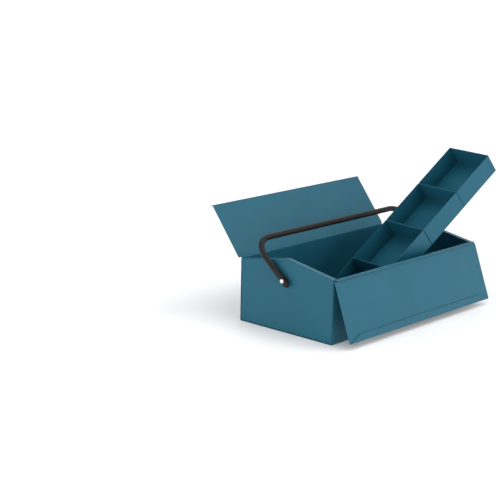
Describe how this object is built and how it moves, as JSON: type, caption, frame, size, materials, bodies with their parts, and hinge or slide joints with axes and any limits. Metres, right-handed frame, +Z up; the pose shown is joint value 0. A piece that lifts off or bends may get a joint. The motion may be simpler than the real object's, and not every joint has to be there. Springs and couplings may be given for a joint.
{
  "type": "sewing box with trays",
  "caption": "Gable-topped sheet-steel sewing box, open: two lids hinged on the long walls, a U-shaped bail handle and a lift-out tray divided into bins.",
  "frame": {"origin": "middle of the underside of the case's floor", "axes": "+X along the box towards the lifted tray's high end, -Y is the front, where the lid hangs down, +Z up"},
  "size_m": [0.4681, 0.3344, 0.2678],
  "materials": {
    "blue_paint": "semi-gloss blue enamel on sheet steel",
    "black_paint": "satin black enamel",
    "rivet_steel": "bright zinc plate",
    "pin_steel": "plain drawn wire",
    "nylon": "matt black"
  },
  "bodies": {
    "case": {"case_shell": "blue_paint", "end_wall_left": "blue_paint", "end_wall_right": "blue_paint", "tray_rest_left": "blue_paint", "tray_rest_right": "blue_paint", "handle_rivet_left": "rivet_steel", "handle_rivet_right": "rivet_steel", "handle_spacer_left": "nylon", "handle_spacer_right": "nylon", "handle_burr_left": "rivet_steel", "handle_burr_right": "rivet_steel", "hinge_pin_front": "pin_steel", "hinge_pin_back": "pin_steel"},
    "lid_front": {"lid_front": "blue_paint"},
    "lid_back": {"lid_back": "blue_paint"},
    "handle": {"handle_bail": "black_paint"},
    "tray": {"tray_bin_1": "blue_paint", "tray_bin_2": "blue_paint", "tray_bin_3": "blue_paint", "tray_bin_4": "blue_paint"}
  },
  "joints": [
    {"name": "tray_lift", "type": "slide", "parent": "case", "child": "tray", "axis": [0, -0.2079, 0.9781], "range_m": [0, 0.35]},
    {"name": "lid_front_hinge", "type": "hinge", "parent": "case", "child": "lid_front", "pos_m": [0, -0.1045, 0.1094], "axis": [-1, 0, 0], "range_deg": [0, 239.7]},
    {"name": "lid_back_hinge", "type": "hinge", "parent": "case", "child": "lid_back", "pos_m": [0, 0.1045, 0.1094], "axis": [1, 0, 0], "range_deg": [0, 118.1]},
    {"name": "handle_swing", "type": "hinge", "parent": "case", "child": "handle", "pos_m": [0, 0, 0.091], "axis": [1, 0, 0], "range_deg": [0, 55]}
  ],
  "couplings": [
    {"joint": "lid_front_hinge", "follows": "tray_lift", "rad_per_m": 11.952},
    {"joint": "lid_back_hinge", "follows": "tray_lift", "rad_per_m": 5.889},
    {"joint": "handle_swing", "follows": "tray_lift", "rad_per_m": 2.7425}
  ]
}
